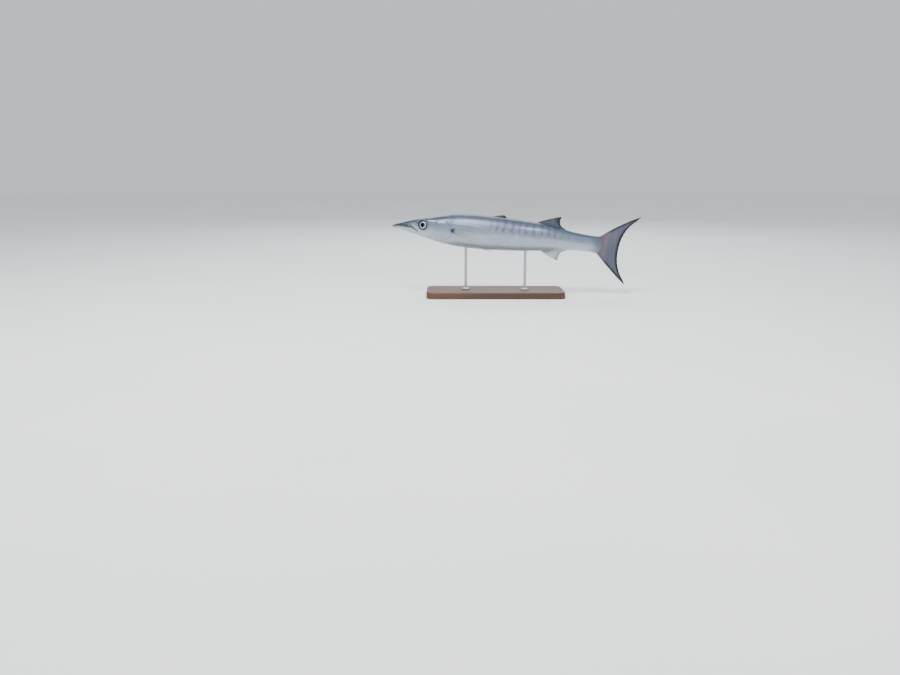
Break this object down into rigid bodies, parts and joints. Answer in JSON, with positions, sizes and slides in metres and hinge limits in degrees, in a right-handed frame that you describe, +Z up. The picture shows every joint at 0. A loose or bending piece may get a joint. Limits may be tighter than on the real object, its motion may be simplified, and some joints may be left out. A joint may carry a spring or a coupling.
{
  "type": "schooling barracuda display model",
  "caption": "Life-size slender silver sea fish with a forked tail, held in a level glide on two rods over a flat base, for display.",
  "frame": {"origin": "centre of the flat underside of the stand's base", "axes": "+X from head to tail, +Y to the fish's right side, +Z up"},
  "size_m": [0.5465, 0.112, 0.1779],
  "materials": {
    "skin": "wet silver scaled skin, steel blue back, dusky bars above the lateral line, pale belly",
    "dark_fin": "dusky slate fin membrane on rays, near-black edges",
    "pale_fin": "thin pale fin membrane on rays, faintly yellowish",
    "eye": "clear domed eye, silver iris, black pupil",
    "base_wood": "dark walnut, satin oiled",
    "rod_steel": "brushed stainless rod"
  },
  "bodies": {
    "root": {"head": "skin", "lower_jaw": "skin", "eye_left": "eye", "eye_right": "eye", "torso_front": "skin", "torso_middle": "skin", "torso_rear": "skin", "tail_stem": "skin", "first_dorsal_fin": "dark_fin", "second_dorsal_fin": "dark_fin", "anal_fin": "pale_fin", "tail_fin_upper": "dark_fin", "tail_fin_lower": "dark_fin", "pectoral_fin_left": "pale_fin", "pectoral_fin_right": "pale_fin", "pelvic_fin_left": "pale_fin", "pelvic_fin_right": "pale_fin", "stand_base": "base_wood", "stand_rod_front": "rod_steel", "stand_rod_rear": "rod_steel"}
  },
  "joints": []
}
